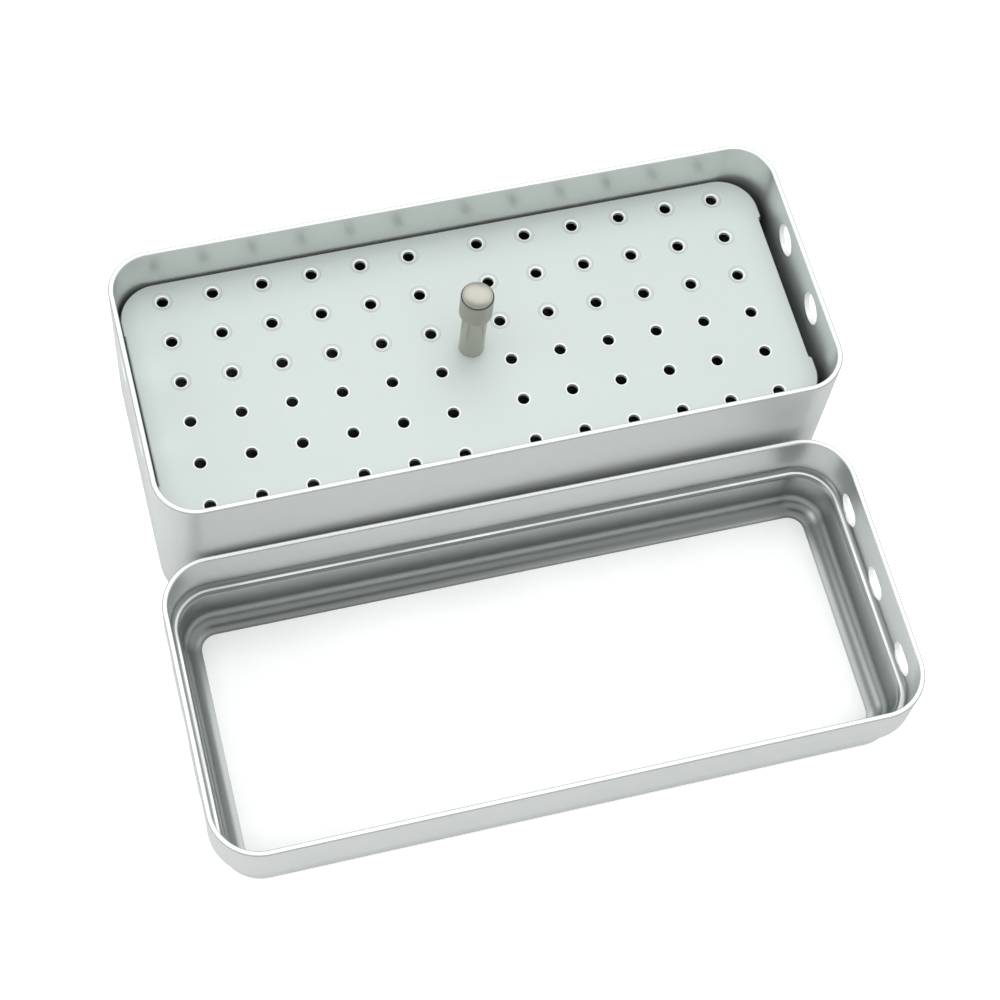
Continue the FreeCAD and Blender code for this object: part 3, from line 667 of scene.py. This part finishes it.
def sheet_metal(
    name,
    colour,
    roughness,
    metallic=1.0,
    cloud=0.02,
    grain=2600,
    grain_height=0.0008 * MM,
):
    """Satin sheet metal: faint clouds in its tone, and a fine grain that blurs its sheen."""
    material, tree, shader = new_finish(name)
    shader.inputs["Metallic"].default_value = metallic
    place = tree.nodes.new("ShaderNodeTexCoord")
    clouds = scaled_noise(tree, place, CLOUD_SCALE)
    tint = tree.nodes.new("ShaderNodeMix")
    tint.data_type = "RGBA"
    tint.blend_type = "MULTIPLY"
    tint.inputs["Factor"].default_value = 1
    tint.inputs["A"].default_value = (*colour, 1)
    tone = spread(tree, clouds.outputs["Fac"], 1 - cloud, 1 + cloud)
    tree.links.new(tone, tint.inputs["B"])
    tree.links.new(tint.outputs["Result"], shader.inputs["Base Color"])
    specks = scaled_noise(tree, place, grain, 4)
    sheen = spread(tree, clouds.outputs["Fac"], roughness - SHEEN_RANGE, roughness + SHEEN_RANGE)
    tree.links.new(sheen, shader.inputs["Roughness"])
    bump = tree.nodes.new("ShaderNodeBump")
    bump.inputs["Strength"].default_value = 1
    bump.inputs["Distance"].default_value = grain_height
    tree.links.new(specks.outputs["Fac"], bump.inputs["Height"])
    tree.links.new(bump.outputs["Normal"], shader.inputs["Normal"])
    return material


def in_vent(polygon, middle, half_length, vent_height, vent_size, reach):
    """True for the faces that line the vents in a pan's end walls."""
    place = polygon.center - middle
    in_wall = half_length - PAN_SHEET < abs(place.x) < half_length
    level = abs(polygon.center.z - vent_height) < vent_size / 2 + BURR_ROUND
    return in_wall and level and abs(place.y) < reach and abs(polygon.normal.x) < 0.85


def finish_pan(pan, finishes, height, vents, bands=()):
    """Inside, rim, floor, outside and rim roundings each get their own degree of satin and their
    own tone: painted highlight on the rims and vent linings, painted light on the near-white floor,
    painted shade on the rim roundings, and bands of painted shade and painted highlight inside the
    lid.
    """
    for finish in finishes:
        pan.data.materials.append(finish)
    middle = Vector((0, 0, height / 2))
    for polygon in pan.data.polygons:
        heights = [pan.data.vertices[index].co.z for index in polygon.vertices]
        outward = (polygon.center - middle).to_2d().dot(polygon.normal.to_2d())
        if min(heights) > height - 0.01 * MM:
            polygon.material_index = RIM
        elif max(heights) - min(heights) < SAME and abs(heights[0] - PAN_SHEET) < SAME:
            polygon.material_index = FLOOR
        elif min(heights) > height - RIM_ROUND - 0.01 * MM and outward > 0:
            polygon.material_index = RIM_LINE
        elif outward > 0:
            polygon.material_index = OUTSIDE
        for low, high, slot in bands:
            if outward < SAME / 10 and low < max(heights) < high:
                polygon.material_index = slot
        # Vent linings take the rim's painted highlight.
        if in_vent(polygon, middle, *vents):
            polygon.material_index = RIM


# Surroundings


def make_floor():
    form = bmesh.new()
    bmesh.ops.create_grid(form, x_segments=1, y_segments=1, size=6)
    bmesh.ops.translate(form, vec=(0, 0, -0.02 * MM), verts=form.verts)
    floor = finish_piece(form, "floor")
    material = bpy.data.materials.new("white_table")
    material.use_nodes = True
    tree = material.node_tree
    tree.nodes.clear()
    surface = tree.nodes.new("ShaderNodeBsdfDiffuse")
    surface.inputs["Color"].default_value = (0.86, 0.86, 0.86, 1)
    glow = tree.nodes.new("ShaderNodeEmission")
    glow.inputs["Strength"].default_value = 0.5
    path = tree.nodes.new("ShaderNodeLightPath")
    dark = tree.nodes.new("ShaderNodeEmission")
    dark.inputs["Strength"].default_value = 0
    lift = tree.nodes.new("ShaderNodeMixShader")
    tree.links.new(path.outputs["Is Camera Ray"], lift.inputs["Fac"])
    tree.links.new(dark.outputs["Emission"], lift.inputs[1])
    tree.links.new(glow.outputs["Emission"], lift.inputs[2])
    total = tree.nodes.new("ShaderNodeAddShader")
    tree.links.new(surface.outputs["BSDF"], total.inputs[0])
    tree.links.new(lift.outputs["Shader"], total.inputs[1])
    output = tree.nodes.new("ShaderNodeOutputMaterial")
    tree.links.new(total.outputs["Shader"], output.inputs["Surface"])
    floor.data.materials.append(material)


def make_world(strength):
    world = bpy.data.worlds.new("white_room")
    bpy.context.scene.world = world
    world.use_nodes = True
    tree = world.node_tree
    tree.nodes.clear()
    path = tree.nodes.new("ShaderNodeLightPath")
    room = tree.nodes.new("ShaderNodeBackground")
    room.inputs["Color"].default_value = (1, 1, 1, 1)
    room.inputs["Strength"].default_value = strength
    seen = tree.nodes.new("ShaderNodeBackground")
    seen.inputs["Color"].default_value = (1, 1, 1, 1)
    seen.inputs["Strength"].default_value = 1
    mix = tree.nodes.new("ShaderNodeMixShader")
    tree.links.new(path.outputs["Is Camera Ray"], mix.inputs["Fac"])
    tree.links.new(room.outputs["Background"], mix.inputs[1])
    tree.links.new(seen.outputs["Background"], mix.inputs[2])
    output = tree.nodes.new("ShaderNodeOutputWorld")
    tree.links.new(mix.outputs["Shader"], output.inputs["Surface"])


def make_softbox(name, place, aim, width, height, power, in_sheen=True, in_tone=True):
    """Soft lamp that can be kept out of the metal's sheen or out of its matt tone."""
    light = bpy.data.lights.new(name, "AREA")
    light.shape = "RECTANGLE"
    light.size = width
    light.size_y = height
    light.energy = power
    lamp = bpy.data.objects.new(name, light)
    lamp.location = place
    lamp.rotation_euler = (Vector(aim) - Vector(place)).to_track_quat("-Z", "Y").to_euler()
    lamp.visible_glossy = in_sheen
    lamp.visible_diffuse = in_tone
    bpy.context.scene.collection.objects.link(lamp)


def make_dark_card(name, place, aim, width, height):
    """Black card that only shows as a reflection in the metal."""
    form = bmesh.new()
    bmesh.ops.create_grid(form, x_segments=1, y_segments=1, size=0.5)
    bmesh.ops.scale(form, vec=(width, height, 1), verts=form.verts)
    facing = (Vector(aim) - Vector(place)).to_track_quat("Z", "Y").to_matrix()
    bmesh.ops.rotate(form, cent=(0, 0, 0), matrix=facing, verts=form.verts)
    bmesh.ops.translate(form, vec=place, verts=form.verts)
    card = finish_piece(form, name)
    material = bpy.data.materials.new("black_card")
    material.use_nodes = True
    tree = material.node_tree
    tree.nodes.clear()
    surface = tree.nodes.new("ShaderNodeBsdfDiffuse")
    surface.inputs["Color"].default_value = (0.02, 0.02, 0.02, 1)
    output = tree.nodes.new("ShaderNodeOutputMaterial")
    tree.links.new(surface.outputs["BSDF"], output.inputs["Surface"])
    card.data.materials.append(material)
    card.visible_camera = False
    card.visible_diffuse = False
    card.visible_shadow = False


def make_camera():
    lens = bpy.data.cameras.new("camera")
    lens.lens = 85.94
    lens.sensor_width = 36
    lens.clip_start = 0.01
    camera = bpy.data.objects.new("camera", lens)
    right = (0.963790, -0.256274, 0.073700)
    up = (0.198696, 0.874498, 0.442462)
    back = (-0.177842, -0.411797, 0.893754)
    place = (-0.101863, -0.266057, 0.52599)
    camera.matrix_world = Matrix(
        [(right[n], up[n], back[n], place[n]) for n in range(3)] + [(0, 0, 0, 1)]
    )
    bpy.context.scene.collection.objects.link(camera)
    bpy.context.scene.camera = camera


make_camera()
make_floor()
make_world(0.6)
make_softbox("overhead_softbox", (0.0, -0.15, 1.3), (0, -0.03, 0), 1.25, 1.25, 12, in_sheen=False)
make_softbox("rear_softbox", (0.2, 0.5, 1.15), (0, -0.03, 0), 1.2, 0.8, 4.3, in_tone=False)
make_softbox("left_softbox", (-1.1, 0.0, 0.55), (0, -0.03, 0.02), 0.9, 0.7, 2.5)
make_dark_card("dark_camera_card", (-0.12, -0.33, 0.62), (0, -0.05, 0), 0.6, 0.2)

pan_metal = sheet_metal("satin_pan_metal", (0.79, 0.82, 0.80), 0.34, metallic=0.85)
outer_metal = sheet_metal("matt_outer_metal", (0.63, 0.66, 0.648), 0.42, metallic=0.4)
lid_metal = sheet_metal(
    "satin_lid_metal", (0.6, 0.63, 0.615), 0.3, metallic=0.75, grain_height=0.0003 * MM
)
# Painted shade: a much darker copy of the lid metal on the lid's crown wall and floor fillet,
# standing in for the dark reflection they show.
crown_shade_metal = sheet_metal(
    "crown_painted_shade_metal", (0.35, 0.375, 0.365), 0.3, metallic=0.97, grain_height=0.0003 * MM
)
# Painted light: a near-white, almost matt copy of the pan metal that keeps the pan floors bright
# right up to the walls, where their shade would fall.
floor_light_metal = sheet_metal(
    "matt_floor_painted_light_metal", (0.97, 0.99, 0.98), 0.5, metallic=0.1, cloud=0.03, grain=1500
)
# Painted highlight: a bright, blotchy streak along the flat of the lid's inner ledge.
ledge_highlight_metal = sheet_metal("ledge_painted_highlight_metal", (0.9, 0.92, 0.91), 0.32, metallic=0.2, cloud=0.25)
# Painted shade: a near-black line along the plate's outline rounding and round the post's top
# chamfer.
edge_line_shade_metal = sheet_metal("edge_line_painted_shade_metal", (0.1, 0.1, 0.1), 0.5, metallic=0.5)
# Painted highlight: near-white matt copies of the pan metal on the pans' rims and vent linings, the
# lid's brighter still.
rim_highlight_metal = sheet_metal("rim_painted_highlight_metal", (0.84, 0.88, 0.86), 0.5, metallic=0.1)
lid_rim_highlight_metal = sheet_metal("lid_rim_painted_highlight_metal", (0.97, 0.99, 0.98), 0.5, metallic=0.1)
# Painted shade: a darker line along the outer rim roundings.
rim_line_shade_metal = sheet_metal("rim_line_shade_metal", (0.5, 0.53, 0.515), 0.4, metallic=0.6)
rack_metal = sheet_metal("matt_rack_metal", (0.545, 0.6, 0.578), 0.5, metallic=0.25)
# Painted highlight: a bright halo on the small chamfer round each hole.
hole_edge_highlight_metal = sheet_metal("hole_edge_painted_highlight_metal", (0.85, 0.88, 0.87), 0.45, metallic=0.2)
# Painted shade: a thin dark ring on the step of each countersink.
ring_shade_metal = sheet_metal("ring_painted_shade_metal", (0.42, 0.46, 0.44), 0.5, metallic=0.3)
# Painted shade: the guide and rest plates are near-black so that the holes show the shade under the
# top plate as black.
inner_shade_metal = sheet_metal("inner_sheet_painted_shade_metal", (0.16, 0.16, 0.16), 0.5)
post_metal = sheet_metal("turned_post_metal", (0.52, 0.51, 0.46), 0.3)
# Painted shade: a darker copy of the post metal that tones down the light on the dished top.
post_top_shade_metal = sheet_metal("turned_top_painted_shade_metal", (0.38, 0.38, 0.335), 0.3)
fastener_metal = sheet_metal("fastener_metal", (0.45, 0.45, 0.43), 0.35)

base_pan = make_base_pan()
finish_pan(
    base_pan,
    (pan_metal, rim_highlight_metal, floor_light_metal, outer_metal, rim_line_shade_metal),
    BASE_HEIGHT,
    (
        BASE_LENGTH / 2,
        BASE_HEIGHT - BASE_VENT_DROP,
        BASE_VENT_DIAMETER,
        BASE_WIDTH / 2 - BASE_CORNER,
    ),
)
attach(base_pan, "base")
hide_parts("base_shell")

lid_pan = make_lid_pan()
finish_pan(
    lid_pan,
    (
        lid_metal,
        lid_rim_highlight_metal,
        floor_light_metal,
        outer_metal,
        rim_line_shade_metal,
        crown_shade_metal,
        ledge_highlight_metal,
    ),
    LID_HEIGHT,
    (
        LID_LENGTH / 2,
        LID_HEIGHT - LID_VENT_DROP,
        LID_VENT_HEIGHT,
        LID_WIDTH / 2 - LID_CORNER,
    ),
    # The bands paint the crown wall and floor fillet dark (painted shade) and the flat of the ledge
    # bright (painted highlight).
    bands=[
        (PAN_SHEET + SAME, LEDGE_HEIGHT + INSIDE_LEDGE_SEAT + 0.1 * MM, CROWN),
        (LEDGE_HEIGHT - SAME, LEDGE_HEIGHT + SAME, LEDGE_HIGHLIGHT),
    ],
)
lid_pan.data.transform(Matrix.Translation(LID_PLACE) @ Matrix.Rotation(LID_TURN, 4, "Z"))
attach(lid_pan, "lid")
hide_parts("lid_shell")

rack_plate = make_rack_plate()
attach(rack_plate, "rack")
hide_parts("rack_top_plate")

lifting_post = make_post()
finish_post(lifting_post)
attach(lifting_post, "post")
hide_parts("lift_post")

for node, finish in (
    ("guide_plate", inner_shade_metal),
    ("rest_plate", inner_shade_metal),
    ("upper_spacer", fastener_metal),
    ("lower_spacer", fastener_metal),
    ("nut_washer", fastener_metal),
    ("lock_nut", fastener_metal),
):
    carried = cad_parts[node]
    carried.data.materials.clear()
    carried.data.materials.append(finish)

bpy.context.scene.view_settings.view_transform = "Standard"
